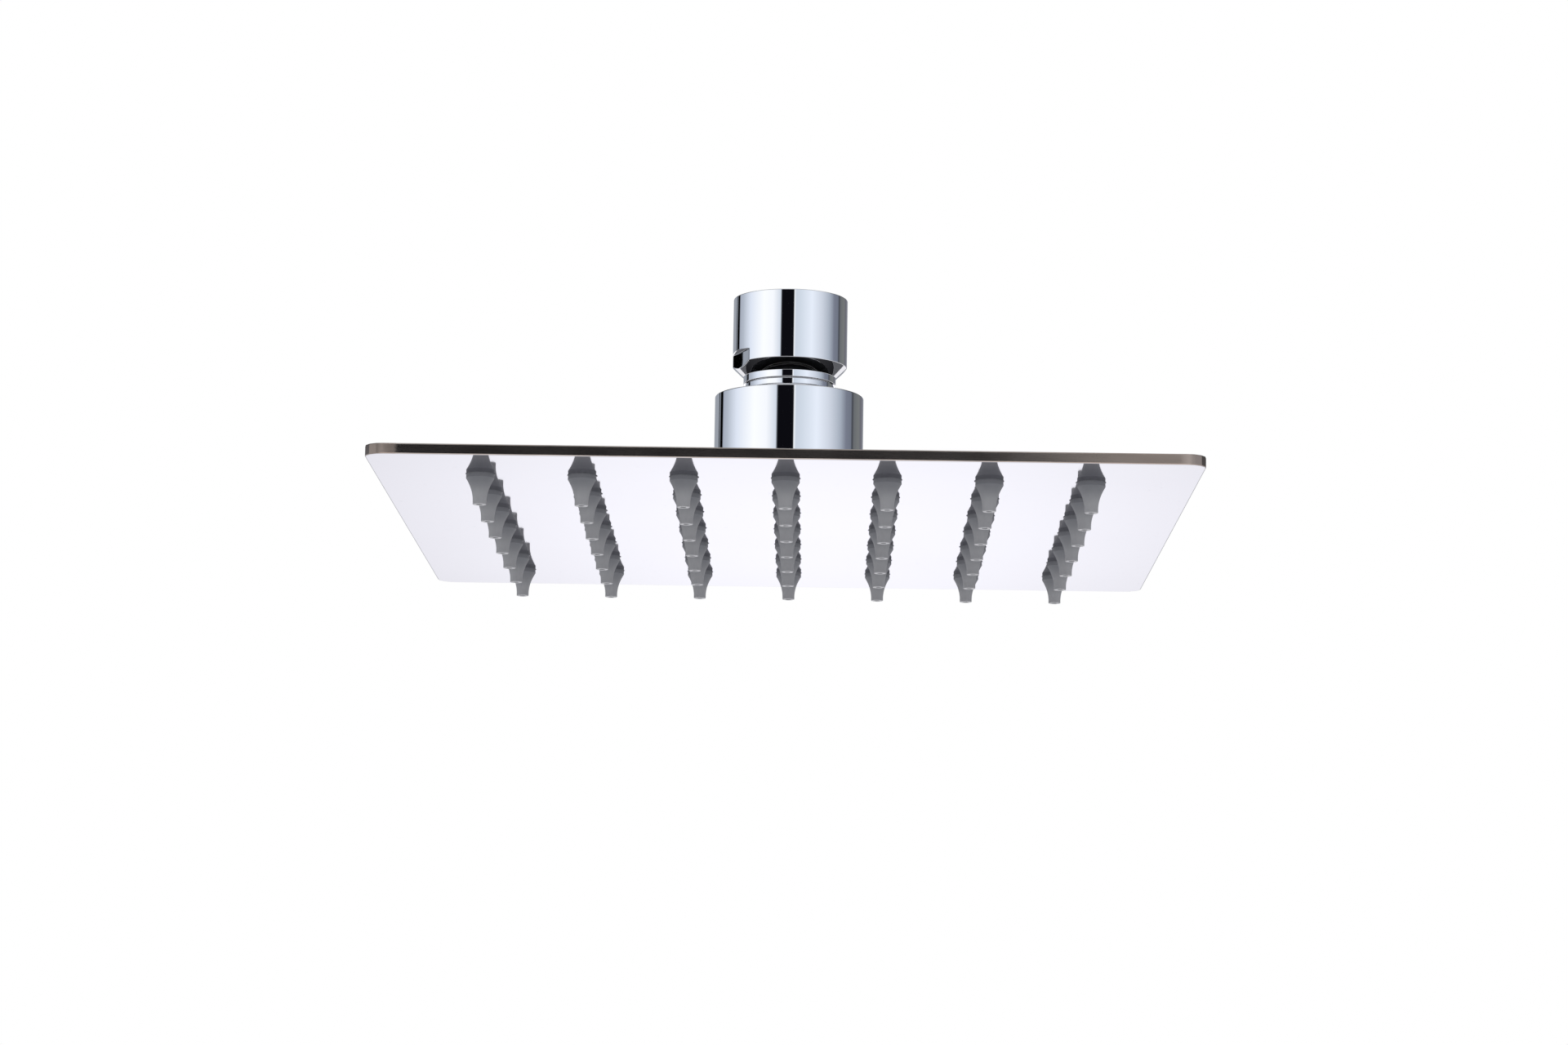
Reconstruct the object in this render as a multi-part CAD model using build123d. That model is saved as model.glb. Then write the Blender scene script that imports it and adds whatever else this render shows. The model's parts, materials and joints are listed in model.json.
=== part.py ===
"""Square rain shower head, 6 inch size, with a swivel ball connector.

The origin is the centre of the inlet thread's mouth, on top of the ball nut. +Z points up, to the shower arm, and
the spray plate hangs below. The plate's sides lie along X and Y. Lengths are in millimetres, angles in degrees.
"""

import os
from math import atan2, cos, degrees, hypot, radians, sin, sqrt, tan

from build123d import *

# Spray plate
PLATE_SIDE = 152.0
PLATE_CORNER = 3.5
FACE_SHEET = 1.0
BACK_SHEET = 1.0
EDGE_BEVEL = 0.3
WELD_LAND = 8.0
CHAMBER_HEIGHT = 1.3
CHAMBER_CORNER = 9.0
CHAMBER_SLOPE_RUN = 1.6

# Spray nozzles, made with flat sides so that the many copies stay light
NOZZLES_A_ROW = 7
NOZZLE_INSET = 19.6
NOZZLE_SIDES = 8
NOZZLE_RADIUS = 2.62
NOZZLE_LENGTH = 5.7
BASE_LENGTH = 0.5
TIP_RADIUS = 1.26
TIP_LENGTH = 1.2
JET_RADIUS = 0.55
HEAD_LIP = 0.7
HEAD_HEIGHT = 0.7

# Ball nut
THREAD_RADIUS = 9.32
THREAD_LENGTH = 8.2
THREAD_RELIEF = 1.2
NUT_WALL = 2.08
NUT_FLOOR = 3.1
NUT_EDGE = 0.35
NUT_CHAMFER = 2.1
RING_RADIUS = 9.2
RING_HEIGHT = 1.6
NECK_RADIUS = 8.3
NECK_HEIGHT = 0.5
FLAT_DEPTH = 0.9
FLAT_HEIGHT = 2.3
FLATS_TURN = 22.4
WATERWAY_RADIUS = 5.0
BALL_RADIUS = 12.4
BALL_END_RADIUS = 7.0

# Inlet washer and filter screen
WASHER_THICKNESS = 2.0
WASHER_WALL = 2.6
SCREEN_THICKNESS = 0.3
MESH_WIRE = 0.7
MESH_GAP = 1.4

# Seat ring and collar
SEAT_LOW_ANGLE = 5.5
SEAT_HIGH_ANGLE = 22.0
COLLAR_GAP = 0.8
COLLAR_WALL = 1.6
COLLAR_EDGE = 0.35
LIP_THICKNESS = 2.5
LIP_FLARE = 0.8

# Inlet boss and ball seal
BALL_DROP = 1.75
BOSS_FLOOR = 3.9
BOSS_HEIGHT = 7.1
BOSS_EDGE = 0.4
BOSS_BORE = 5.5
SPIGOT_WALL = 1.0
SEAL_LOW_ANGLE = -50.0
SEAL_HIGH_ANGLE = -34.0

# Clearances
BALL_CLEARANCE = 0.08
BALL_RELIEF = 0.35
RING_CLEARANCE = 0.08
THREAD_CLEARANCE = 0.1
NOZZLE_CLEARANCE = 0.05

# Radii that follow from those above
NUT_RADIUS = THREAD_RADIUS + NUT_WALL
WASHER_RADIUS = THREAD_RADIUS - THREAD_CLEARANCE
COLLAR_BORE = BALL_RADIUS + COLLAR_GAP
COLLAR_RADIUS = COLLAR_BORE + COLLAR_WALL
SPIGOT_RADIUS = COLLAR_BORE - THREAD_CLEARANCE
POCKET_RADIUS = SPIGOT_RADIUS - SPIGOT_WALL
SEAL_RADIUS = POCKET_RADIUS - RING_CLEARANCE

# Levels, from the nut's top face down
THREAD_BASE = -THREAD_LENGTH
SCREEN_TOP = THREAD_BASE - THREAD_CLEARANCE - WASHER_THICKNESS
INLET_FLOOR = SCREEN_TOP - SCREEN_THICKNESS
NUT_BASE = INLET_FLOOR - NUT_FLOOR
CHAMFER_BASE = NUT_BASE - NUT_CHAMFER
RING_BASE = CHAMFER_BASE - RING_HEIGHT
NECK_BASE = RING_BASE - NECK_HEIGHT
BALL_CENTRE = NECK_BASE - sqrt(BALL_RADIUS**2 - NECK_RADIUS**2)
BALL_END = BALL_CENTRE - sqrt(BALL_RADIUS**2 - BALL_END_RADIUS**2)
SPIGOT_TOP = BALL_CENTRE - sqrt((BALL_RADIUS + BALL_RELIEF) ** 2 - POCKET_RADIUS**2)
POCKET_FLOOR = BALL_END - BALL_DROP
BACK_TOP = POCKET_FLOOR - BOSS_FLOOR
COLLAR_BASE = BACK_TOP + BOSS_HEIGHT
CHAMBER_TOP = BACK_TOP - BACK_SHEET
FACE_TOP = CHAMBER_TOP - CHAMBER_HEIGHT
FACE_BASE = FACE_TOP - FACE_SHEET


def ball_cone(low_angle, high_angle):
    """Low and high (radius, height) ends of a cone that just clears the ball midway between two latitudes."""
    reach = (BALL_RADIUS + BALL_CLEARANCE) / cos(radians(high_angle - low_angle) / 2)
    ends = [radians(angle) for angle in (low_angle, high_angle)]
    return [(reach * cos(end), BALL_CENTRE + reach * sin(end)) for end in ends]


# The seat ring's cone sets where the collar's lip bears on it
SEAT_LOW_END, SEAT_HIGH_END = ball_cone(SEAT_LOW_ANGLE, SEAT_HIGH_ANGLE)
LIP_RADIUS, LIP_BASE = SEAT_HIGH_END
COLLAR_TOP = LIP_BASE + LIP_THICKNESS


def spun(*edges):
    """Solid of revolution about Z from edges that close a (radius, height) outline."""
    return revolve(Plane.XZ * make_face(edges), axis=Axis.Z)


def turned(*corners):
    """Solid of revolution about Z from (radius, height) corners in order."""
    return spun(Polyline(*corners, close=True))


def slab(side, corner, low, high, taper=0):
    """Square slab with rounded corners between two levels, drawn in by taper degrees."""
    outline = Pos(0, 0, low) * RectangleRounded(side, side, corner)
    return extrude(outline, amount=high - low, dir=(0, 0, 1), taper=taper)


def nozzle_rows():
    """Centres of the nozzle grid, one list for each row, from the front."""
    reach = PLATE_SIDE / 2 - NOZZLE_INSET
    pitch = 2 * reach / (NOZZLES_A_ROW - 1)
    steps = [i * pitch - reach for i in range(NOZZLES_A_ROW)]
    return [[(x, y) for x in steps] for y in steps]


def ball_nut():
    """Nut, ring, neck and ball turned from one bar, with a through waterway and two spanner flats."""
    ball = ThreePointArc((BALL_END_RADIUS, BALL_END), (BALL_RADIUS, BALL_CENTRE), (NECK_RADIUS, NECK_BASE))
    rest = Polyline(
        (NECK_RADIUS, NECK_BASE),
        (NECK_RADIUS, RING_BASE),
        (RING_RADIUS, RING_BASE),
        (RING_RADIUS, CHAMFER_BASE),
        (NUT_RADIUS, NUT_BASE),
        (NUT_RADIUS, -NUT_EDGE),
        (NUT_RADIUS - NUT_EDGE, 0),
        (THREAD_RADIUS, 0),
        (THREAD_RADIUS, THREAD_BASE),
        (THREAD_RADIUS + THREAD_RELIEF, THREAD_BASE),
        (THREAD_RADIUS + THREAD_RELIEF, INLET_FLOOR),
        (WATERWAY_RADIUS, INLET_FLOOR),
        (WATERWAY_RADIUS, BALL_END),
        (BALL_END_RADIUS, BALL_END),
    )
    nut = spun(ball, rest)
    for side in (0, 180):
        cutter = Box(
            2 * FLAT_DEPTH,
            2 * NUT_RADIUS,
            FLAT_HEIGHT + NUT_CHAMFER,
            align=(Align.CENTER, Align.CENTER, Align.MIN),
        )
        nut -= Rot(0, 0, FLATS_TURN + side) * Pos(NUT_RADIUS, 0, CHAMFER_BASE) * cutter
    return nut


def inlet_washer():
    """Flat rubber ring that the shower arm's end presses on."""
    inner = WASHER_RADIUS - WASHER_WALL
    top = SCREEN_TOP + WASHER_THICKNESS
    return turned((inner, SCREEN_TOP), (WASHER_RADIUS, SCREEN_TOP), (WASHER_RADIUS, top), (inner, top))


def filter_screen():
    """Disc under the washer, with a square mesh inside a plain rim."""
    open_radius = WASHER_RADIUS - WASHER_WALL
    pitch = MESH_GAP + MESH_WIRE
    count = int(open_radius / pitch)
    steps = [i * pitch for i in range(-count, count + 1)]
    far_corner = MESH_GAP / 2
    mesh = Sketch()
    for x in steps:
        for y in steps:
            if hypot(abs(x) + far_corner, abs(y) + far_corner) < open_radius:
                mesh += Pos(x, y) * Rectangle(MESH_GAP, MESH_GAP)
    return Pos(0, 0, INLET_FLOOR) * extrude(Circle(WASHER_RADIUS) - mesh, amount=SCREEN_THICKNESS)


def seat_ring():
    """Friction ring under the collar's lip, with a conical seat for the ball."""
    outer = COLLAR_BORE - RING_CLEARANCE
    return turned(SEAT_LOW_END, (outer, SEAT_LOW_END[1]), (outer, LIP_BASE), SEAT_HIGH_END)


def collar():
    """Cap with a flared lip over the ball and a bore that screws on the boss."""
    return turned(
        (LIP_RADIUS, LIP_BASE),
        (COLLAR_BORE, LIP_BASE),
        (COLLAR_BORE, COLLAR_BASE),
        (COLLAR_RADIUS, COLLAR_BASE),
        (COLLAR_RADIUS, COLLAR_TOP - COLLAR_EDGE),
        (COLLAR_RADIUS - COLLAR_EDGE, COLLAR_TOP),
        (LIP_RADIUS + LIP_FLARE, COLLAR_TOP),
    )


def inlet_boss():
    """Boss brazed to the back plate, with the seal's pocket inside the spigot that the collar screws on."""
    return turned(
        (BOSS_BORE, BACK_TOP),
        (COLLAR_RADIUS, BACK_TOP),
        (COLLAR_RADIUS, COLLAR_BASE - BOSS_EDGE),
        (COLLAR_RADIUS - BOSS_EDGE, COLLAR_BASE),
        (SPIGOT_RADIUS, COLLAR_BASE),
        (SPIGOT_RADIUS, SPIGOT_TOP),
        (POCKET_RADIUS, SPIGOT_TOP),
        (POCKET_RADIUS, POCKET_FLOOR),
        (BOSS_BORE, POCKET_FLOOR),
    )


def ball_seal():
    """Rubber ring in the boss's pocket, with a conical lip that the ball presses on."""
    low_end, high_end = ball_cone(SEAL_LOW_ANGLE, SEAL_HIGH_ANGLE)
    return turned(
        (low_end[0], POCKET_FLOOR),
        (SEAL_RADIUS, POCKET_FLOOR),
        (SEAL_RADIUS, high_end[1]),
        high_end,
        low_end,
    )


def back_plate():
    """Sheet with a flat rim and a shallow pressed square, which leaves the water chamber under it."""
    slope = atan2(CHAMBER_HEIGHT, CHAMBER_SLOPE_RUN)
    taper = 90 - degrees(slope)
    inner_shift = BACK_SHEET * tan(slope / 2)
    side = PLATE_SIDE - 2 * WELD_LAND
    rim = slab(PLATE_SIDE, PLATE_CORNER, FACE_TOP, FACE_TOP + BACK_SHEET)
    rim = chamfer(rim.edges().group_by(Axis.Z)[-1], EDGE_BEVEL)
    step = slab(side, CHAMBER_CORNER, FACE_TOP + BACK_SHEET, BACK_TOP, taper)
    chamber = slab(side - 2 * inner_shift, CHAMBER_CORNER - inner_shift, FACE_TOP, CHAMBER_TOP, taper)
    inlet = Pos(0, 0, FACE_TOP) * extrude(Circle(BOSS_BORE), amount=BACK_TOP - FACE_TOP)
    return rim + step - chamber - inlet


def face_plate():
    """Underside sheet with one hole for each nozzle."""
    sheet = slab(PLATE_SIDE, PLATE_CORNER, FACE_BASE, FACE_TOP)
    sheet = chamfer(sheet.edges().group_by(Axis.Z)[0], EDGE_BEVEL)
    hole = RegularPolygon(NOZZLE_RADIUS + NOZZLE_CLEARANCE, NOZZLE_SIDES)
    holes = Sketch() + [Pos(x, y) * hole for row in nozzle_rows() for x, y in row]
    return sheet - Pos(0, 0, FACE_BASE) * extrude(holes, amount=FACE_SHEET)


def stage(radius, low, high):
    """Upright length of a nozzle with flat sides, between two levels."""
    outline = Pos(0, 0, low) * RegularPolygon(radius, NOZZLE_SIDES)
    return extrude(outline, amount=high - low, dir=(0, 0, 1))


def nozzle():
    """Silicone nozzle pushed in from the chamber: its head stays inside, its base fills the hole, and a long bevel
    narrows it to a straight tip with the jet's bore through it."""
    head_top = FACE_TOP + HEAD_HEIGHT
    tip = FACE_BASE - NOZZLE_LENGTH
    waist = tip + TIP_LENGTH
    body = stage(NOZZLE_RADIUS, waist, FACE_TOP)
    foot = body.faces().sort_by(Axis.Z)[0]
    inset = (NOZZLE_RADIUS - TIP_RADIUS) * cos(radians(180 / NOZZLE_SIDES))
    body = chamfer(foot.edges(), inset, FACE_BASE - BASE_LENGTH - waist, reference=foot)
    head = stage(NOZZLE_RADIUS + HEAD_LIP, FACE_TOP, head_top)
    end = stage(TIP_RADIUS, tip, waist)
    return head + body + end - stage(JET_RADIUS, tip, head_top)


parts = {
    "ball_nut": ball_nut(),
    "inlet_washer": inlet_washer(),
    "filter_screen": filter_screen(),
    "seat_ring": seat_ring(),
    "collar": collar(),
    "inlet_boss": inlet_boss(),
    "ball_seal": ball_seal(),
    "back_plate": back_plate(),
    "face_plate": face_plate(),
}
one_nozzle = nozzle()
for number, places in enumerate(nozzle_rows(), start=1):
    parts[f"nozzle_row_{number}"] = Compound([Pos(x, y) * one_nozzle for x, y in places])

os.makedirs("parts", exist_ok=True)
for name, part in parts.items():
    export_step(part, f"parts/{name}.step")
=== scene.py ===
"""Looks of a square rain shower head that hangs from a chromed swivel ball connector.

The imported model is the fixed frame. The pieces that show are drawn again as fine surfaces of the same sizes.
Shapes are worked out in millimetres, in the model's own axes, and put into meshes in metres.
"""

import json
import math

import bmesh
import bpy
import numpy as np
from mathutils import Matrix, Vector


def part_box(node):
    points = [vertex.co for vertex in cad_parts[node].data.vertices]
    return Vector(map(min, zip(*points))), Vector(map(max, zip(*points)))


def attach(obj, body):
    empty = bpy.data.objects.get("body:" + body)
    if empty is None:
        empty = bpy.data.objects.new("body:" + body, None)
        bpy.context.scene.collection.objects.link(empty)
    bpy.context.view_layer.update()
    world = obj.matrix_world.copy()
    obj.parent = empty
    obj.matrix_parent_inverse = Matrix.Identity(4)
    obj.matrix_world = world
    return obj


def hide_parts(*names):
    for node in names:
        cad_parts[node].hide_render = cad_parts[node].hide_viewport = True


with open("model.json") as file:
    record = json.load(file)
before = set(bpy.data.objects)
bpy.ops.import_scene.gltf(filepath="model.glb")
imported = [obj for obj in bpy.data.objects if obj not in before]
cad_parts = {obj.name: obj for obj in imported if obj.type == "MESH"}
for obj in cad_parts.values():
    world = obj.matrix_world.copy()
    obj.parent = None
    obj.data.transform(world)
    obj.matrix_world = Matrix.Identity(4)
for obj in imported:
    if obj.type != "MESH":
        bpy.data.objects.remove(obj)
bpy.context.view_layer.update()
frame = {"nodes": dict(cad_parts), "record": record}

MM = 0.001
TURN = 2 * math.pi
JOIN_DISTANCE = 0.0008


def span(node):
    """Lowest and highest corner of a model node, in millimetres."""
    low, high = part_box(node)
    return np.array(low) / MM, np.array(high) / MM


# Sizes taken from the model
inlet = frame["record"]["mounts"][0]["dims"]
plate_low, plate_high = span("face_plate")
back_high = span("back_plate")[1]
nut_low, nut_high = span("ball_nut")
collar_low, collar_high = span("collar")
boss_high = span("inlet_boss")[1]
washer_low, washer_high = span("inlet_washer")
screen_low, screen_high = span("filter_screen")
seat_high = span("seat_ring")[1]
row_low, row_high = span("nozzle_row_1")

# Spray plate
HALF_SIDE = plate_high[0]
FACE_BASE = plate_low[2]
FACE_TOP = plate_high[2]
BACK_TOP = back_high[2]
SHEET = FACE_TOP - FACE_BASE
PLATE_CORNER = 3.5
EDGE_ROUND = 0.2
EDGE_GUARD = EDGE_ROUND + 0.05
LAND = 8.0
CHAMBER_CORNER = 9.0
SLOPE_RUN = 1.6
SLOPE_ROUND = 0.7
BACK_HOLE = 5.5
SQUARE_CORNER = 1e-6

# Stretches of the rim, along X, over which it turns coarse towards its ends, with painted reflection and shade
# at the front
RIM_RIGHT = 33.0
RIM_RIGHT_END = HALF_SIDE - 2.5 * PLATE_CORNER
RIM_LEFT = -69.5
RIM_LEFT_END = RIM_LEFT - 1.2

# Nozzles
ROWS = 7
HEAD_LIP = 0.7
HEAD_RADIUS = row_high[1] - (row_low[1] + row_high[1]) / 2
HEAD_EDGE = 0.12
BASE_RADIUS = HEAD_RADIUS - HEAD_LIP
BASE_STRAIGHT = 0.8
BASE_EDGE = 0.1
FOOT_INSET = 0.04
FOOT_EDGE = 1.0
TIP_RADIUS = 1.26
TIP_STRAIGHT = 0.55
TIP_EDGE = 0.12
JET_RADIUS = 0.55
JET_EDGE = 0.1
NOZZLE_GUARD = 0.02
HOLE_GAP = 0.05
HOLE_RADIUS = BASE_RADIUS + HOLE_GAP
HOLE_ROUND = 0.12
TIP_LEVEL = row_low[2]
HEAD_TOP = row_high[2]
GRID_REACH = row_high[0] - HEAD_RADIUS
PITCH = 2 * GRID_REACH / (ROWS - 1)
GRID_STEPS = (np.arange(ROWS) - (ROWS - 1) / 2) * PITCH

# Ball nut
THREAD_RADIUS = inlet["r_mm"]
THREAD_LENGTH = inlet["length_mm"]
THREAD_PITCH = 1.814
THREAD_DEPTH = 0.98
THREAD_RELIEF = 1.2
THREAD_RUNOUT = 0.6
INLET_FLOOR = screen_low[2]
INLET_EDGE = 0.12
NUT_RADIUS = 11.4
NUT_BASE = -13.7
NUT_BASE_EDGE = 0.2
NUT_TOP_EDGE = 0.12
CHAMFER_BASE = -15.8
RING_RADIUS = 9.2
RING_BASE = -17.25
RING_BASE_EDGE = 0.16
RING_TOP_EDGE = 0.12
GROOVE_RADIUS = 8.3
GROOVE_EDGE = 0.05
BAND_RADIUS = 8.85
BAND_TOP = -17.37
BAND_EDGE = 0.08
NECK_RADIUS = 8.3
NECK_BASE = -17.9
BALL_RADIUS = nut_high[0]
BALL_CENTRE = NECK_BASE - math.sqrt(BALL_RADIUS**2 - NECK_RADIUS**2)
BALL_END = nut_low[2]
WATERWAY_RADIUS = 5.0

# Spanner flats on the nut
FLAT_DEPTH = 0.9
FLAT_REACH = NUT_RADIUS - FLAT_DEPTH
FLAT_HEIGHT = 2.3
FLAT_TOP = NUT_BASE + FLAT_HEIGHT
FLATS_BEARING = math.radians(22.4)
FLAT_EDGE = 0.03
FLAT_CROWN = 0.0015
LEDGE_RISE = 0.25

# Collar and boss
FINE_EDGE = 0.1
COLLAR_RADIUS = collar_high[0]
COLLAR_BORE = 13.2
COLLAR_TOP = collar_high[2]
COLLAR_TOP_EDGE = 0.2
COLLAR_BASE = collar_low[2]
COLLAR_BASE_EDGE = 0.15
SEAT_GAP = 0.02
LIP_BASE = seat_high[2] + SEAT_GAP
LIP_RADIUS = 11.69
LIP_FLARE = 0.8
SPIGOT_RADIUS = 13.1
SPIGOT_TOP = boss_high[2]
POCKET_RADIUS = 12.1
BALL_DROP = 1.75
POCKET_FLOOR = BALL_END - BALL_DROP
BOSS_EDGE = 0.35
BRAZE = 0.5
BRAZE_ROUND = 0.4
BRAZE_TOE = 0.05

# Inlet washer and filter screen
WASHER_WALL = 2.6
WASHER_EDGE = 0.35
SCREEN_GAP = 0.05
WIRE_RADIUS = 0.13
WIRE_PITCH = 0.85
WIRE_LIFT = 0.09
WIRE_WIDTH = 0.75 * WIRE_RADIUS
WIRE_HEIGHT = 0.45 * WIRE_RADIUS
WIRE_HOLD = 0.6
RIM_LAP = 0.3

# Fineness of the meshes: points round a turn or a side, rows along a curve and steps along an outline
FINE_TURN = 320
SMALL_TURN = 128
NUT_TURN = 240
NOZZLE_TURN = 48
WIRE_TURN = 8
WIRE_POINTS = 8
CELL_POINTS = 16
FLARE_ROWS = 28
BALL_ROWS = 48
THREAD_ROWS = 73
FLAT_STEP = 0.08
LEDGE_STEP = 0.02
FLAT_EDGE_POINTS = 17
FLAT_EDGE_SPREAD = 0.02

# Parts of a face's normal that choose its finish: upwards at the rim, and towards the axis in the collar's
# bore, which has painted shade
RIM_UPWARD = 0.85
BORE_INWARD = 0.3

# Stage and camera, whose angles are pitch, yaw and roll in degrees
FLOOR_TONE = (0.855, 0.871, 0.913, 1)
FLOOR_HALF = 12000
FLOOR_LEVEL = -1000
CAMERA_ACROSS = 6.3
CAMERA_AWAY = 784.9
CAMERA_DROP = 131.72
CAMERA_ANGLES = (-9.620, 0.502, 0.810)
LENS = 92.08
SENSOR = 36.0


def rounded(corners, radius, steps=6, guard=0.04):
    """Outline through corners, each one replaced by an arc that touches both its sides. A corner is (r, z)
    with the common radius, or (r, z, radius), and an arc takes less than half of a side. A guard point just
    outside each end of an arc keeps flat stretches flat."""
    points = [np.array(corners[0][:2], float)]
    for before, here, after in zip(corners[:-2], corners[1:-1], corners[2:]):
        size = here[2] if len(here) > 2 else radius
        here, before, after = (np.array(p[:2], float) for p in (here, before, after))
        back, ahead = before - here, after - here
        shorter = min(np.linalg.norm(back), np.linalg.norm(ahead))
        back, ahead = back / np.linalg.norm(back), ahead / np.linalg.norm(ahead)
        half = math.acos(np.clip(back @ ahead, -1, 1)) / 2
        reach = min(size / math.tan(half), 0.45 * shorter)
        size = reach * math.tan(half)
        middle = here + (back + ahead) / np.linalg.norm(back + ahead) * size / math.sin(half)
        start, end = here + back * reach - middle, here + ahead * reach - middle
        turn = math.atan2(start[0] * end[1] - start[1] * end[0], start @ end)
        angles = math.atan2(start[1], start[0]) + turn * np.linspace(0, 1, steps + 1)
        arc = middle + size * np.stack([np.cos(angles), np.sin(angles)], 1)
        if reach + guard < 0.5 * shorter:
            points += [here + back * (reach + guard), *arc, here + ahead * (reach + guard)]
        else:
            points += [*arc]
    points.append(np.array(corners[-1][:2], float))
    return np.array(points)


def refined(profile, low, high, step):
    """The same outline with a further point at every step along it, between the heights low and high."""
    along = np.concatenate([[0], np.cumsum(np.linalg.norm(np.diff(profile, axis=0), axis=1))])
    more = np.arange(0, along[-1], step)
    height = np.interp(more, along, profile[:, 1])
    places = np.unique(np.concatenate([along, more[(height > low) & (height < high)]]))
    return np.stack([np.interp(places, along, side) for side in profile.T], 1)


def lathe(profile, bearings):
    """Grid of points: every (radius, height) of a profile carried round the Z axis through the bearings."""
    radius, height = profile[:, :1], profile[:, 1:]
    return np.stack(np.broadcast_arrays(radius * np.cos(bearings), radius * np.sin(bearings), height), -1)


def circle(count):
    """Bearings of a full turn, the last equal to the first."""
    return np.linspace(0, TURN, count + 1)


def grid_faces(rows, columns, start):
    """Corner numbers of the quads of a grid whose first point has the number start."""
    first = start + np.arange(rows - 1)[:, None] * columns + np.arange(columns - 1)
    return np.stack([first, first + 1, first + columns + 1, first + columns], -1).reshape(-1, 4)


def piece(name, grids, finish, body, nodes, sharp=22):
    """Object made of grids of points in millimetres, joined where they meet, with its faces turned outwards.
    Edges that turn by more than sharp degrees stay crisp."""
    points, faces, start = [], [], 0
    for grid in grids:
        rows, columns = grid.shape[:2]
        points.append(grid.reshape(-1, 3) * MM)
        faces.append(grid_faces(rows, columns, start))
        start += rows * columns
    mesh = bpy.data.meshes.new(name)
    mesh.from_pydata(np.vstack(points).tolist(), [], np.vstack(faces).tolist())
    work = bmesh.new()
    work.from_mesh(mesh)
    bmesh.ops.remove_doubles(work, verts=work.verts, dist=JOIN_DISTANCE * MM)
    bmesh.ops.recalc_face_normals(work, faces=work.faces)
    work.to_mesh(mesh)
    work.free()
    mesh.polygons.foreach_set("use_smooth", np.ones(len(mesh.polygons), bool))
    mesh.set_sharp_from_angle(angle=math.radians(sharp))
    mesh.materials.append(finish)
    made = bpy.data.objects.new(name, mesh)
    bpy.context.scene.collection.objects.link(made)
    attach(made, body)
    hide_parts(*nodes)
    return made


class Value:
    """A socket of a node tree. Python's operators on it add Math nodes, and node() adds any other kind."""

    def __init__(self, tree, socket=None):
        self.tree = tree
        self.socket = socket

    def node(self, kind, settings=None, sockets=None, out=0):
        """New node of a kind: first its settings, then its sockets' values or links. Gives one output."""
        made = self.tree.nodes.new(kind)
        for key, value in (settings or {}).items():
            setattr(made, key, value)
        for key, value in (sockets or {}).items():
            if isinstance(value, Value):
                self.tree.links.new(value.socket, made.inputs[key])
            else:
                made.inputs[key].default_value = value
        return Value(self.tree, made.outputs[out])

    def ramp(self, stops):
        """Colour ramp over this value from (position, colour) stops."""
        made = self.node("ShaderNodeValToRGB", sockets={"Fac": self})
        elements = made.socket.node.color_ramp.elements
        while len(elements) < len(stops):
            elements.new(1.0)
        for element, (position, colour) in zip(elements, stops):
            element.position = position
            element.color = (*colour, 1.0)
        return made

    def axes(self):
        """The X, Y and Z parts of this vector."""
        parts = self.node("ShaderNodeSeparateXYZ", sockets={"Vector": self}).socket.node.outputs
        return [Value(self.tree, part) for part in parts]

    def math(self, operation, *values):
        """Math node of an operation on values."""
        return self.node("ShaderNodeMath", {"operation": operation}, dict(enumerate(values)))

    def vector(self, operation, sockets, out=0):
        """Vector Math node of an operation on the values or links of its sockets."""
        return self.node("ShaderNodeVectorMath", {"operation": operation}, sockets, out)

    def between(self, low, high, to_low=0.0, to_high=1.0):
        """This value eased from low to high onto to_low to to_high."""
        settings = {"interpolation_type": "SMOOTHSTEP"}
        names = ("Value", "From Min", "From Max", "To Min", "To Max")
        sockets = dict(zip(names, (self, low, high, to_low, to_high)))
        return self.node("ShaderNodeMapRange", settings, sockets)

    def __abs__(self):
        return self.math("ABSOLUTE", self)

    def __add__(self, other):
        return self.math("ADD", self, other)

    def __radd__(self, other):
        return self.math("ADD", other, self)

    def __sub__(self, other):
        return self.math("SUBTRACT", self, other)

    def __rsub__(self, other):
        return self.math("SUBTRACT", other, self)

    def __mul__(self, other):
        return self.math("MULTIPLY", self, other)

    def __rmul__(self, other):
        return self.math("MULTIPLY", other, self)

    def __truediv__(self, other):
        return self.math("DIVIDE", self, other)


def blended(share, low, high):
    """Colour between low and high by a share."""
    settings = {"data_type": "RGBA", "clamp_factor": True}
    return share.node("ShaderNodeMix", settings, {"Factor": share, 6: low, 7: high}, out=2)


def new_finish(name):
    """Material with a Principled shader, and a first value to write its maths from."""
    material = bpy.data.materials.new(name)
    material.use_nodes = True
    tree = material.node_tree
    return material, tree.nodes["Principled BSDF"], Value(tree)


def feed(shader, **sockets):
    """Sets or links sockets of a shader by name, with underscores for spaces."""
    for key, value in sockets.items():
        socket = shader.inputs[key.replace("_", " ")]
        if isinstance(value, Value):
            value.tree.links.new(value.socket, socket)
        else:
            socket.default_value = value


def object_place(start, stretch=(1, 1, 1)):
    """Object coordinates in millimetres, stretched along the axes."""
    place = start.node("ShaderNodeTexCoord", out=3)
    return start.vector("MULTIPLY", {0: place, 1: [1 / MM * s for s in stretch]})


def noise(place, scale, detail=3.0, rough=0.5):
    """Noise over a place, with a size of about one over scale."""
    sockets = {"Vector": place, "Scale": scale, "Detail": detail, "Roughness": rough}
    return place.node("ShaderNodeTexNoise", sockets=sockets)


def bumped(height, distance):
    """Normal from a height between 0 and 1 over a distance in millimetres."""
    sockets = {"Height": height, "Distance": distance * MM, "Strength": 1.0}
    return height.node("ShaderNodeBump", sockets=sockets)


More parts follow.
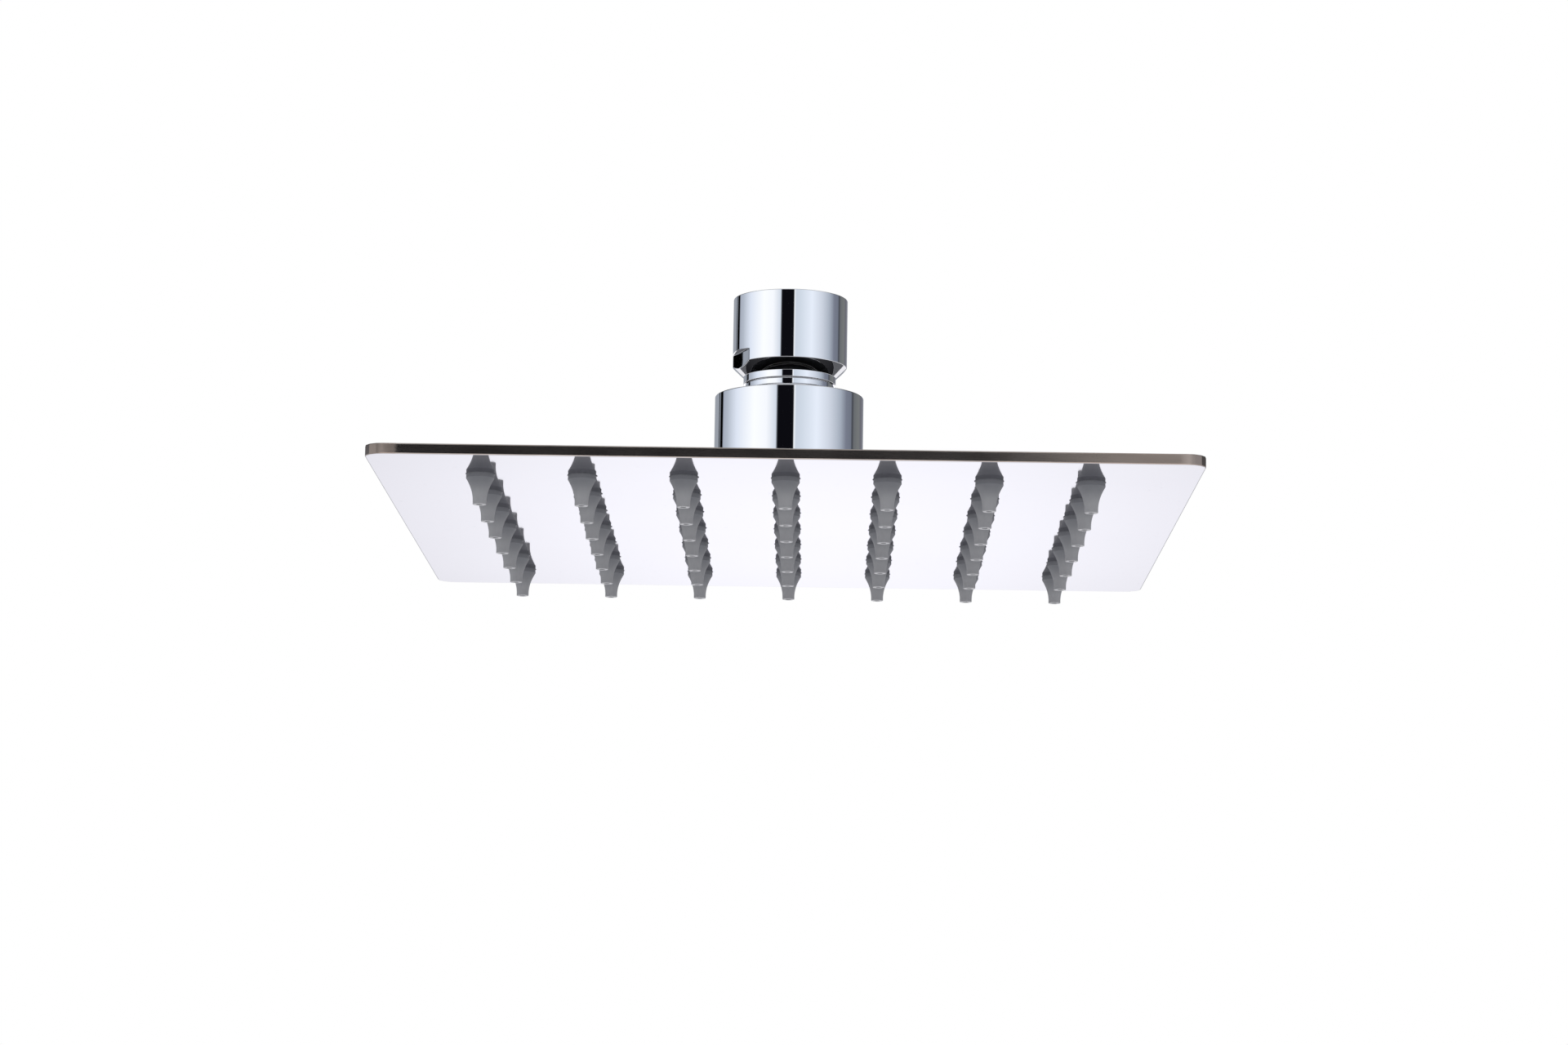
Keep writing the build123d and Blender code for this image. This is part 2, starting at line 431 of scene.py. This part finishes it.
def chrome():
    """Bright chrome plate: a mirror with a faint haze of handling marks."""
    material, shader, start = new_finish("chrome_plate")
    haze = noise(object_place(start), 0.18, 4.0).between(0.42, 0.78)
    rub = noise(object_place(start, (0.25, 0.25, 3.0)), 0.9, 5.0, 0.6).between(0.5, 0.85)
    feed(shader, Base_Color=(0.92, 0.925, 0.94, 1), Metallic=1.0)
    feed(shader, Roughness=0.02 + 0.012 * haze + 0.012 * rub)
    return material


def polished_steel():
    """Mirror polished stainless sheet, with faint cloudiness left by the buffing and a few matt specks."""
    material, shader, start = new_finish("polished_steel")
    place = object_place(start)
    cloud = noise(place, 0.03, 3.0).between(0.3, 0.7)
    speck = noise(place, 1.1, 2.0).between(0.69, 0.76)
    colour = blended(speck, (0.63, 0.63, 0.65, 1), (0.56, 0.56, 0.58, 1))
    feed(shader, Base_Color=colour, Metallic=1.0, Specular_Tint=(0.7, 0.7, 0.72, 1))
    feed(shader, Roughness=0.03 + 0.02 * cloud + 0.1 * speck)
    return material


def satin_steel():
    """Back of the stainless sheet, left with the fine straight grain of the mill's satin finish."""
    material, shader, start = new_finish("satin_steel")
    grain = noise(object_place(start, (0.015, 1.0, 1.0)), 1.3, 7.0, 0.72)
    cloud = noise(object_place(start), 0.04, 3.0)
    colour = blended(grain, (0.52, 0.53, 0.55, 1), (0.82, 0.83, 0.85, 1))
    feed(shader, Base_Color=colour, Metallic=0.6, Roughness=0.32 + 0.12 * grain + 0.08 * cloud)
    feed(shader, Normal=bumped(grain, 0.001))
    return material


def ground_rim():
    """Ground edge of the plate: steel with fine grinding lines that run along it, coarser towards the ends.
    The front edge has painted reflection, a warmer tint over a mottled stain that is browner where it is
    coarse, and painted shade that darkens it round its corners."""
    material, shader, start = new_finish("ground_rim")
    lines = noise(object_place(start, (0.01, 0.01, 1.0)), 5.0, 4.0, 0.7)
    stain = noise(object_place(start, (0.3, 0.3, 1.0)), 0.4, 3.0).between(0.35, 0.7)
    x, y, _ = object_place(start).axes()
    right = x.between(RIM_RIGHT, RIM_RIGHT_END)
    left = x.between(RIM_LEFT, RIM_LEFT_END)
    coarse = right + left
    inner = x.math("MINIMUM", abs(x), abs(y))
    corner = inner.between(HALF_SIDE - PLATE_CORNER, HALF_SIDE - 0.7 * PLATE_CORNER)
    front = y.between(2 * PLATE_CORNER - HALF_SIDE, PLATE_CORNER - HALF_SIDE)
    # Painted reflection: a warmer tint over a mottled stain, browner where the edge is coarse.
    stain_and_warm_reflection = blended(stain, (0.66, 0.58, 0.52, 1), (0.49, 0.43, 0.385, 1))
    painted_brown_reflection = blended(coarse * 0.75, stain_and_warm_reflection, (0.56, 0.44, 0.365, 1))
    # Painted shade: the front edge darkened nearly to black round its corners, more at the left.
    painted_corner_shade = blended((0.6 * left + 0.4 * right) * corner, painted_brown_reflection, (0.12, 0.1, 0.09, 1))
    plain = blended(stain, (0.6, 0.585, 0.57, 1), (0.46, 0.448, 0.437, 1))
    feed(shader, Base_Color=blended(front, plain, painted_corner_shade), Metallic=1.0)
    feed(shader, Roughness=0.13 + 0.05 * lines + 0.155 * coarse, Normal=bumped(lines, 0.0005))
    return material


def dull_bore():
    """Inside of the collar, turned, with painted shade: a dark grey that stands in for the shade in the
    crevice, with fine turning lines round it.
    """
    material, shader, start = new_finish("dull_bore")
    lines = noise(object_place(start, (0.05, 0.05, 1.0)), 6.0, 3.0, 0.6)
    # Painted shade: a dark grey that stands in for the shade in the crevice.
    colour = blended(lines, (0.1, 0.1, 0.105, 1), (0.13, 0.13, 0.136, 1))
    feed(shader, Base_Color=colour, Metallic=1.0)
    feed(shader, Roughness=0.45 + 0.1 * lines, Normal=bumped(lines, 0.0008))
    return material


def silicone():
    """Grey silicone rubber with a satin skin and a fine moulded grain, smoother at the tip's edge. Its colour
    has painted light that makes it paler towards the tip and painted shade that darkens its base by the plate."""
    material, shader, start = new_finish("grey_silicone")
    place = object_place(start)
    mottle = noise(place, 0.7, 4.0)
    grain = noise(place, 9.0, 2.0)
    height = place.axes()[2]
    # Painted light and shade: paler colour towards the tip, darker at the base by the plate.
    painted_tip_light = height.between(TIP_LEVEL + 1.0, FACE_BASE - BASE_STRAIGHT, 1.0, 0.0)
    mouth = height.between(TIP_LEVEL + 0.03, TIP_LEVEL + 0.25, 1.0, 0.0)
    colour = blended(0.85 * painted_tip_light + 0.15 * mottle, (0.19, 0.195, 0.21, 1), (0.43, 0.43, 0.435, 1))
    feed(shader, Base_Color=colour)
    feed(shader, Roughness=0.42 + 0.12 * mottle - 0.18 * mouth, Normal=bumped(grain, 0.01))
    return material


def black_rubber():
    """Matt black rubber with a soft grain."""
    material, shader, start = new_finish("black_rubber")
    grain = noise(object_place(start), 6.0, 3.0)
    colour = blended(grain, (0.018, 0.018, 0.019, 1), (0.04, 0.04, 0.042, 1))
    feed(shader, Base_Color=colour, Roughness=0.62 + 0.15 * grain, Normal=bumped(grain, 0.02))
    return material


def white_acetal():
    """Off-white acetal with faint turning marks."""
    material, shader, start = new_finish("white_acetal")
    marks = noise(object_place(start, (0.2, 0.2, 4.0)), 2.0, 3.0)
    colour = blended(marks, (0.74, 0.73, 0.7, 1), (0.8, 0.79, 0.76, 1))
    feed(shader, Base_Color=colour, Roughness=0.35 + 0.1 * marks)
    return material


def wire_steel():
    """Drawn stainless wire."""
    material, shader, start = new_finish("wire_steel")
    drawn = noise(object_place(start), 4.0, 3.0)
    colour = blended(drawn, (0.52, 0.53, 0.55, 1), (0.66, 0.67, 0.69, 1))
    feed(shader, Base_Color=colour, Metallic=1.0, Roughness=0.22 + 0.15 * drawn)
    return material


def square_marks():
    """Points round the square from -1 to 1, with the last equal to the first. A side has as many cells as a
    row has nozzles, and a cell's points lie where rays at equal angles from its centre meet the side."""
    angles = (np.arange(CELL_POINTS) / CELL_POINTS - 0.5) * TURN / 4
    side = ((np.arange(ROWS)[:, None] * 2 + 1 + np.tan(angles)) / ROWS - 1).ravel()
    ones = np.ones_like(side)
    sides = ((ones, side), (-side, ones), (-ones, -side), (side, -ones))
    marks = np.concatenate([np.stack(xy, 1) for xy in sides])
    return np.vstack([marks, marks[:1]])


def rounded_square(marks, half, corner):
    """Square marks moved to a square of a half side whose corners are arcs: the stretch within one corner
    radius of a corner, on both sides, is bent evenly onto the arc."""
    flat = half - corner
    size = np.abs(marks) * half
    into = np.clip((size - flat) / corner, 0, 1)
    along_x = size[:, 0] >= size[:, 1]
    angle = np.where(along_x, into[:, 1], 2 - into[:, 0]) * TURN / 8
    bent = flat + corner * np.stack([np.cos(angle), np.sin(angle)], 1)
    in_corner = (into.min(1) > 0)[:, None]
    return np.sign(marks) * np.where(in_corner, bent, size)


def quarter(radius, steps=5):
    """Insets and rises of a rounded edge: a quarter circle from the flat, at full inset, to the side."""
    angle = np.linspace(0, TURN / 4, steps + 1)
    return radius * (1 - np.sin(angle)), radius * (1 - np.cos(angle))


def at_height(outline, height):
    """Points of a flat outline at a height."""
    return np.column_stack([outline, np.full(len(outline), height)])


def outline_grid(marks, levels):
    """Grid of points: rounded squares of (half side, corner, height) levels, one row each."""
    return np.array([at_height(rounded_square(marks, half, corner), z) for half, corner, z in levels])


def face_plate(finish):
    """Underside sheet. Each nozzle has a square cell whose grid runs from the cell's sides in to a round
    hole, down through it, and over its rolled edge back out to the cell's sides. A border of rounded squares
    joins the cells to the plate's rounded rim."""
    bearings = TURN * (np.arange(4 * CELL_POINTS + 1) / (4 * CELL_POINTS) - 1 / 8)
    ray = np.stack([np.cos(bearings), np.sin(bearings)], 1)
    square = ray / np.abs(ray).max(1, keepdims=True) * PITCH / 2
    hole, edge = HOLE_RADIUS * ray, (HOLE_RADIUS + HOLE_ROUND) * ray
    inset, rise = quarter(HOLE_ROUND, 3)
    rows = [(square, FACE_TOP), (hole, FACE_TOP)]
    rows += [((HOLE_RADIUS + i) * ray, FACE_BASE + r) for i, r in zip(inset[::-1], rise[::-1])]
    rows += [(edge + (square - edge) * share, FACE_BASE) for share in (0.02, 0.2, 1.0)]
    cell = np.array([at_height(outline, z) for outline, z in rows])
    grids = [cell + np.array([x, y, 0]) for y in GRID_STEPS for x in GRID_STEPS]
    block = ROWS * PITCH / 2
    inset, rise = quarter(EDGE_ROUND)
    border = [(block, SQUARE_CORNER, FACE_BASE)]
    border += [(HALF_SIDE - EDGE_GUARD, PLATE_CORNER - EDGE_GUARD, FACE_BASE)]
    border += [(HALF_SIDE - i, PLATE_CORNER - i, FACE_BASE + r) for i, r in zip(inset, rise)]
    border += [(HALF_SIDE, PLATE_CORNER, FACE_BASE + EDGE_GUARD), (HALF_SIDE, PLATE_CORNER, FACE_TOP)]
    border += [(block, SQUARE_CORNER, FACE_TOP)]
    grids.append(outline_grid(square_marks(), border))
    return piece("spray_face", grids, finish, "head", ["face_plate"])


def back_plate(finish):
    """Pressed back sheet: rounded squares from the rim over the flat land and up the eased slope to the
    raised field, in to the inlet hole, and back below at one sheet's thickness."""
    foot = HALF_SIDE - LAND
    land = FACE_TOP + SHEET
    slope_end = LAND + SLOPE_RUN
    slope = math.atan2(BACK_TOP - land, SLOPE_RUN)
    corners = [(0, land), (LAND, land), (slope_end, BACK_TOP), (HALF_SIDE / 2, BACK_TOP)]
    side = rounded(corners, SLOPE_ROUND, 8)
    inset, rise = quarter(EDGE_ROUND)
    top = [(HALF_SIDE, PLATE_CORNER, FACE_TOP), (HALF_SIDE, PLATE_CORNER, land - EDGE_GUARD)]
    top += [(HALF_SIDE - i, PLATE_CORNER - i, land - r) for i, r in zip(inset[::-1], rise[::-1])]
    corner_rise = (CHAMBER_CORNER - PLATE_CORNER) / LAND
    top += [(HALF_SIDE - i, PLATE_CORNER + corner_rise * min(i, LAND) - max(i - LAND, 0), z)
            for i, z in side[1:] if i <= slope_end + SLOPE_ROUND]
    shift = SHEET * math.tan(slope / 2)
    under_top = BACK_TOP - SHEET
    under = [(foot - SLOPE_RUN - shift, CHAMBER_CORNER - SLOPE_RUN - shift, under_top),
             (foot - shift, CHAMBER_CORNER - shift, FACE_TOP), (HALF_SIDE, PLATE_CORNER, FACE_TOP)]
    marks = square_marks()
    bearing = np.arctan2(marks[:, 1], marks[:, 0])
    hole = BACK_HOLE * np.column_stack([np.cos(bearing), np.sin(bearing)])
    ring = np.array([at_height(hole, z) for z in (BACK_TOP, under_top)])
    grid = np.concatenate([outline_grid(marks, top), ring, outline_grid(marks, under)])
    return piece("spray_back", [grid], finish, "head", ["back_plate"])


def face_places(made):
    """Centres in millimetres and normals of a piece's faces."""
    faces = made.data.polygons
    centres, normals = np.empty((2, len(faces) * 3))
    faces.foreach_get("center", centres)
    faces.foreach_get("normal", normals)
    return centres.reshape(-1, 3) / MM, normals.reshape(-1, 3)


def paint(made, finish, chosen):
    """Gives the chosen faces of a piece a second finish."""
    made.data.materials.append(finish)
    made.data.polygons.foreach_set("material_index", chosen.astype(np.int32))


def paint_rim(plate, finish):
    """Gives the upright faces round the plate's edge the ground finish."""
    centres, normals = face_places(plate)
    out = np.abs(centres[:, :2]).max(1) > HALF_SIDE - PLATE_CORNER
    paint(plate, finish, out & (np.abs(normals[:, 2]) < RIM_UPWARD))


def paint_bore(cap, finish):
    """Gives the faces that look towards the axis the dark finish of painted shade."""
    centres, normals = face_places(cap)
    outward = (centres[:, :2] * normals[:, :2]).sum(1) / np.hypot(centres[:, 0], centres[:, 1])
    paint(cap, finish, outward < -BORE_INWARD)


def nozzle_profile():
    """Section of a nozzle, from the jet's inner mouth round the head and the short straight base to the tip.
    Below the base the radius falls with the square of the way left to the straight tip, so the body flares
    like a trumpet."""
    shoulder = FACE_BASE - BASE_STRAIGHT
    share = np.linspace(0, 1, FLARE_ROWS + 1)[1:]
    flare = TIP_RADIUS + (BASE_RADIUS - TIP_RADIUS) * (1 - share) ** 2
    body = np.stack([flare, shoulder - share * (shoulder - TIP_LEVEL - TIP_STRAIGHT)], 1)
    foot = BASE_RADIUS - FOOT_INSET
    head = rounded([
        (JET_RADIUS, HEAD_TOP), (HEAD_RADIUS, HEAD_TOP), (HEAD_RADIUS, FACE_TOP), (foot, FACE_TOP),
        (foot, FACE_BASE, FOOT_EDGE), (BASE_RADIUS, shoulder, BASE_EDGE), body[0],
    ], HEAD_EDGE, 4, NOZZLE_GUARD)
    tip = rounded([
        body[-1], (TIP_RADIUS, TIP_LEVEL), (JET_RADIUS, TIP_LEVEL, JET_EDGE), (JET_RADIUS, HEAD_TOP),
    ], TIP_EDGE, 4, NOZZLE_GUARD)
    return np.vstack([head[:-1], body, tip[1:]])


def nozzles(finish):
    """One piece for each row of nozzles, all from the same turned section."""
    one = lathe(nozzle_profile(), circle(NOZZLE_TURN))
    for number, y in enumerate(GRID_STEPS, start=1):
        grids = [one + np.array([x, y, 0]) for x in GRID_STEPS]
        piece(f"nozzles_{number}", grids, finish, "head", [f"nozzle_row_{number}"], 40)


def soft_minimum(a, b, width):
    """The lesser of two values, with the crossing rounded over a width."""
    return (a + b - np.sqrt((a - b) ** 2 + width**2)) / 2


def nut_bearings():
    """Bearings round the nut, closer together at the upright edges of the spanner flats."""
    edge = math.acos(FLAT_REACH / NUT_RADIUS)
    edges = np.array([FLATS_BEARING + side + sign * edge for side in (0, math.pi) for sign in (-1, 1)])
    spread = np.linspace(-FLAT_EDGE_SPREAD, FLAT_EDGE_SPREAD, FLAT_EDGE_POINTS)
    near = (edges[:, None] + spread).ravel() % TURN
    return np.unique(np.concatenate([circle(NUT_TURN), near]))


def cut_flats(outer, bearings):
    """Cuts the two spanner flats into a turned surface. They cap the radius at the flat's reach / |cos| of
    the bearing from it, less a slight crown that grows with the square of the way along it. Above them the
    cap grows with the height, which leaves a sloped ledge."""
    radius, height = np.hypot(outer[..., 0], outer[..., 1]), outer[..., 2]
    level = np.maximum(np.abs(np.cos(bearings - FLATS_BEARING)), 0.05)
    flat = (FLAT_REACH - FLAT_CROWN * FLAT_REACH**2 * np.minimum(1 / level**2 - 1, 0.3)) / level
    ledge = FLAT_DEPTH / LEDGE_RISE * np.clip(height - FLAT_TOP, 0, None)
    on_nut = (height > CHAMFER_BASE - 0.3) & (radius > RING_RADIUS - 0.01)
    trimmed = np.where(on_nut, soft_minimum(radius, flat + ledge, FLAT_EDGE), radius)
    outer[..., :2] *= (trimmed / radius)[..., None]


def inlet_thread(bearings):
    """Inlet thread: a bore whose radius rises and falls along a helix of one pitch a turn, and runs out at
    its lower end."""
    down = np.linspace(0, THREAD_LENGTH, THREAD_ROWS)[:, None]
    phase = (down / THREAD_PITCH + bearings / TURN) % 1
    groove = np.clip(1.25 - np.abs(phase - 0.5) * 3.6, 0, 1)
    groove = groove * groove * (3 - 2 * groove)
    wall = THREAD_RADIUS + THREAD_DEPTH * groove * np.clip((THREAD_LENGTH - down) / THREAD_RUNOUT, 0, 1)
    return np.stack(np.broadcast_arrays(wall * np.cos(bearings), wall * np.sin(bearings), -down), -1)


def ball_nut(finish):
    """Ball, band, groove, ring and nut as one turned surface with two spanner flats. It goes on inside
    through the inlet thread and the waterway, back to the ball's lower end."""
    bearings = nut_bearings()
    lowest = math.asin((BALL_END - BALL_CENTRE) / BALL_RADIUS)
    latitude = np.linspace(lowest, math.acos(BAND_RADIUS / BALL_RADIUS), BALL_ROWS)
    ball = np.stack([BALL_RADIUS * np.cos(latitude), BALL_CENTRE + BALL_RADIUS * np.sin(latitude)], 1)
    outside = rounded([
        ball[-1], (BAND_RADIUS, BAND_TOP, BAND_EDGE), (GROOVE_RADIUS, BAND_TOP), (GROOVE_RADIUS, RING_BASE),
        (RING_RADIUS, RING_BASE, RING_BASE_EDGE), (RING_RADIUS, CHAMFER_BASE, RING_TOP_EDGE),
        (NUT_RADIUS, NUT_BASE, NUT_BASE_EDGE), (NUT_RADIUS, 0, NUT_TOP_EDGE), (THREAD_RADIUS, 0),
    ], GROOVE_EDGE, 6)
    outside = refined(outside[:-1], CHAMFER_BASE - 0.1, FLAT_TOP, FLAT_STEP)
    outside = refined(outside, FLAT_TOP - 2 * LEDGE_STEP, FLAT_TOP + LEDGE_RISE + 2 * LEDGE_STEP, LEDGE_STEP)
    outer = lathe(np.vstack([ball, outside[1:]]), bearings)
    cut_flats(outer, bearings)
    relief = THREAD_RADIUS + THREAD_RELIEF
    inside = rounded([
        (THREAD_RADIUS, -THREAD_LENGTH), (relief, -THREAD_LENGTH), (relief, INLET_FLOOR),
        (WATERWAY_RADIUS, INLET_FLOOR), (WATERWAY_RADIUS, BALL_END), ball[0],
    ], INLET_EDGE, 4)
    grid = np.concatenate([outer, inlet_thread(bearings), lathe(inside, bearings)])
    return piece("swivel_nut", [grid], finish, "connector", ["ball_nut"])


def collar(finish):
    """Turned cap: outer wall, top edge, flared lip over the ball, bore and lower edge."""
    profile = rounded([
        (COLLAR_BORE, COLLAR_BASE), (COLLAR_RADIUS, COLLAR_BASE, COLLAR_BASE_EDGE),
        (COLLAR_RADIUS, COLLAR_TOP, COLLAR_TOP_EDGE), (LIP_RADIUS + LIP_FLARE, COLLAR_TOP, COLLAR_TOP_EDGE),
        (LIP_RADIUS, LIP_BASE), (COLLAR_BORE, LIP_BASE), (COLLAR_BORE, COLLAR_BASE),
    ], FINE_EDGE, 7)
    grid = lathe(profile, circle(FINE_TURN))
    return piece("swivel_collar", [grid], finish, "head", ["collar"])


def boss(finish):
    """Turned boss under the collar, with a small fillet of braze at its foot."""
    profile = rounded([
        (BACK_HOLE, BACK_TOP), (COLLAR_RADIUS + BRAZE, BACK_TOP, BRAZE_TOE),
        (COLLAR_RADIUS, BACK_TOP + BRAZE, BRAZE_ROUND), (COLLAR_RADIUS, COLLAR_BASE, BOSS_EDGE),
        (SPIGOT_RADIUS, COLLAR_BASE), (SPIGOT_RADIUS, SPIGOT_TOP), (POCKET_RADIUS, SPIGOT_TOP),
        (POCKET_RADIUS, POCKET_FLOOR), (BACK_HOLE, POCKET_FLOOR), (BACK_HOLE, BACK_TOP),
    ], FINE_EDGE, 5)
    grid = lathe(profile, circle(FINE_TURN))
    return piece("inlet_base", [grid], finish, "head", ["inlet_boss"])


def washer(finish):
    """Flat rubber ring with rounded edges."""
    low, high, outer = washer_low[2], washer_high[2], washer_high[0]
    inner, middle = outer - WASHER_WALL, outer - WASHER_WALL / 2
    corners = [(middle, low), (outer, low), (outer, high), (inner, high), (inner, low), (middle, low)]
    grid = lathe(rounded(corners, WASHER_EDGE, 6), circle(SMALL_TURN))
    return piece("inlet_seal", [grid], finish, "inlet_filter", ["inlet_washer"])


def woven_screen(finish):
    """Woven disc in a rolled rim. Each wire is a small tube along X or Y whose height is a cosine of its run,
    in step with the crossing wires, and neighbours are half a wave apart."""
    low, high, outer = screen_low[2], screen_high[2], screen_high[0] - SCREEN_GAP
    open_radius = outer - WASHER_WALL + WIRE_HOLD
    middle = (low + high) / 2
    reach = int(open_radius / WIRE_PITCH)
    around = circle(WIRE_TURN)
    grids = []
    for number in range(-reach, reach + 1):
        offset = number * WIRE_PITCH
        length = math.sqrt(open_radius**2 - offset**2)
        run = np.linspace(-length, length, 2 + int(length / WIRE_PITCH * WIRE_POINTS))[:, None]
        lift = WIRE_LIFT * np.cos(math.pi * (run / WIRE_PITCH + number))
        girth = np.ones_like(run)
        girth[[0, -1]] = 0
        run[0], run[-1] = run[1], run[-2]
        cross = offset + girth * WIRE_WIDTH * np.cos(around)
        rise = middle + lift + girth * WIRE_HEIGHT * np.sin(around)
        run, cross, rise = np.broadcast_arrays(run, cross, rise)
        below = 2 * middle - rise
        grids += [np.stack([run, cross, rise], -1), np.stack([cross, run, below], -1)]
    inner = open_radius - RIM_LAP
    corners = [(inner, middle), (inner, low), (outer, low), (outer, high), (inner, high), (inner, middle)]
    grids.append(lathe(rounded(corners, FINE_EDGE, 4), circle(SMALL_TURN)))
    return piece("inlet_screen", grids, finish, "inlet_filter", ["filter_screen"], 60)


def ray_kinds(start, *kinds):
    """Light Path values by their names."""
    outputs = start.node("ShaderNodeLightPath").socket.node.outputs
    return [Value(start.tree, outputs[kind]) for kind in kinds]


def sky_axes(start):
    """The three parts of the direction in which a ray leaves the scene."""
    return start.node("ShaderNodeTexCoord").axes()


def studio(start):
    """Light that mirrors and matt surfaces see. Mirrors see it by its bearing from the front, positive to the
    right, and its height: two broad white screens with a dark gap at the front, a dark post at the left, dim
    sides, a dark back above them and a dark ceiling. Matt surfaces see an even soft white. What is seen in a
    mirror has dimmer light from above, so that the gaps between the mirrors stay dark."""
    x, y, z = sky_axes(start)
    bearing = x.math("ARCTAN2", x, 0.0 - y) / TURN + 0.5
    stops = [
        (-180, 0.36, 0.38, 0.42), (-134, 0.32, 0.35, 0.4), (-133, 0.0, 0.0, 0.0), (-124.5, 0.0, 0.0, 0.0),
        (-123, 0.4, 0.44, 0.52), (-110, 0.48, 0.53, 0.61), (-88, 0.78, 0.84, 0.95), (-55, 1.06, 1.08, 1.1),
        (-35, 1.0, 1.02, 1.06), (-19, 0.68, 0.74, 0.83), (-18, 0.004, 0.004, 0.006),
        (7, 0.004, 0.004, 0.006), (7.8, 1.0, 1.0, 1.0), (9, 0.9, 0.95, 1.0), (11, 0.64, 0.7, 0.79),
        (20, 0.68, 0.75, 0.84), (44, 0.86, 0.92, 1.02), (66, 0.66, 0.71, 0.8), (86, 0.42, 0.47, 0.55),
        (100, 0.2, 0.22, 0.28), (113, 0.17, 0.19, 0.24), (115.5, 0.07, 0.075, 0.09),
        (118, 0.07, 0.075, 0.09), (121, 0.15, 0.16, 0.17), (138, 0.19, 0.2, 0.2), (150, 0.15, 0.15, 0.18),
        (180, 0.36, 0.38, 0.42),
    ]
    walls = bearing.ramp([((angle + 180) / 360, colour) for angle, *colour in stops])
    degrees = bearing * 360 - 180
    post = degrees.between(-139.4, -139.2) * degrees.between(-136.05, -135.9, 1.0, 0.0)
    walls = blended(post, walls, (0, 0, 0, 1))
    bounces = ray_kinds(start, "Glossy Depth")[0]
    again = bounces.between(1.2, 1.8)
    back = blended(y.between(-0.35, 0.25), (0.62, 0.64, 0.68, 1), (0.03, 0.03, 0.035, 1))
    upper = blended(z.between(0.24, 0.36), walls, back)
    ceiling = blended(again, (0.45, 0.46, 0.48, 1), (0.06, 0.06, 0.065, 1))
    above = blended(z.between(0.5, 0.85), upper, ceiling)
    around = blended(z.between(-0.12, -0.04), (0.95, 0.95, 0.98, 1), above)
    mirror_light = blended(0.5 * again, around, (0, 0, 0, 1))
    shaded = bounces.between(0.2, 0.8) * z.between(0.1, 0.2)
    matt_light = blended(shaded, (0.9, 0.91, 0.94, 1), (0.4, 0.4, 0.42, 1))
    return mirror_light, matt_light


def make_world():
    """White to the camera, fading into the floor's tone at the horizon, and the studio to mirrors and matt
    surfaces."""
    world = bpy.data.worlds.new("studio")
    world.use_nodes = True
    tree = world.node_tree
    start = Value(tree)
    camera_ray, matt_ray = ray_kinds(start, "Is Camera Ray", "Is Diffuse Ray")
    lit = blended(matt_ray, *studio(start))
    rise = sky_axes(start)[2]
    backdrop = blended(rise.between(-0.09, 0.02), FLOOR_TONE, (1, 1, 1, 1))
    feed(tree.nodes["Background"], Color=blended(camera_ray, lit, backdrop), Strength=1.0)
    world.cycles.sampling_method = "NONE"
    bpy.context.scene.world = world


def floor_paint():
    """Pale paint that shows the camera and mirrors a nearly white face. Mirrors also see a lit pool on it far
    behind the head. Other rays meet plain pale paint."""
    material, shader, start = new_finish("floor_paint")
    camera_ray, mirror_ray, bounces = ray_kinds(start, "Is Camera Ray", "Is Glossy Ray", "Glossy Depth")
    shown = camera_ray.math("MAXIMUM", camera_ray, mirror_ray)
    mirrored = bounces.between(0.2, 0.8)
    place = start.node("ShaderNodeTexCoord", out=3)
    offset = start.vector("MULTIPLY_ADD", {0: place, 1: (1, 0.5, 0), 2: (0, -2.8, 0)})
    away = start.vector("LENGTH", {0: offset}, out=1)
    pool = mirror_ray * away.between(0.0, 1.8, 0.96, 0.0)
    level = shown * 0.22 + mirrored * 0.37 + pool
    glow = start.vector("SCALE", {0: (0.985, 0.975, 1.0), "Scale": level})
    feed(shader, Base_Color=(0.74, 0.74, 0.75, 1), Roughness=0.9)
    feed(shader, Emission_Color=glow, Emission_Strength=1.0)
    return material


def make_floor():
    """Flat square floor well below the hanging head, which keeps its soft shadow."""
    run = np.linspace(-FLOOR_HALF, FLOOR_HALF, 3)
    x, y = np.meshgrid(run, run)
    points = np.stack([x, y, np.full_like(x, FLOOR_LEVEL)], -1).reshape(-1, 3) * MM
    mesh = bpy.data.meshes.new("floor")
    mesh.from_pydata(points.tolist(), [], grid_faces(3, 3, 0).tolist())
    mesh.materials.append(floor_paint())
    floor = bpy.data.objects.new("floor", mesh)
    bpy.context.scene.collection.objects.link(floor)


def make_camera():
    """Long lens a little below the plate, as the photograph was taken."""
    pitch, yaw, roll = (Matrix.Rotation(math.radians(a), 3, axis) for a, axis in zip(CAMERA_ANGLES, "XYZ"))
    level = Matrix(((1, 0, 0), (0, 0, -1), (0, 1, 0)))
    right, down, ahead = roll @ yaw @ pitch @ level
    place = Vector((CAMERA_ACROSS, -CAMERA_AWAY, FACE_BASE - CAMERA_DROP)) * MM
    lens = bpy.data.cameras.new("camera")
    lens.sensor_width = SENSOR
    lens.lens = LENS
    lens.clip_start, lens.clip_end = 0.01, 50
    camera = bpy.data.objects.new("camera", lens)
    camera.matrix_world = Matrix.Translation(place) @ Matrix((right, -down, -ahead)).transposed().to_4x4()
    bpy.context.scene.collection.objects.link(camera)
    bpy.context.scene.camera = camera


steel, rim = polished_steel(), ground_rim()
plated = chrome()
for plate in (face_plate(steel), back_plate(satin_steel())):
    paint_rim(plate, rim)
nozzles(silicone())
ball_nut(plated)
# The collar's bore gets painted shade.
paint_bore(collar(plated), dull_bore())
boss(plated)
washer(black_rubber())
woven_screen(wire_steel())
for node, finish in (("seat_ring", white_acetal()), ("ball_seal", black_rubber())):
    frame["nodes"][node].data.materials.clear()
    frame["nodes"][node].data.materials.append(finish)
make_world()
make_floor()
make_camera()
bpy.context.scene.view_settings.view_transform = "Standard"
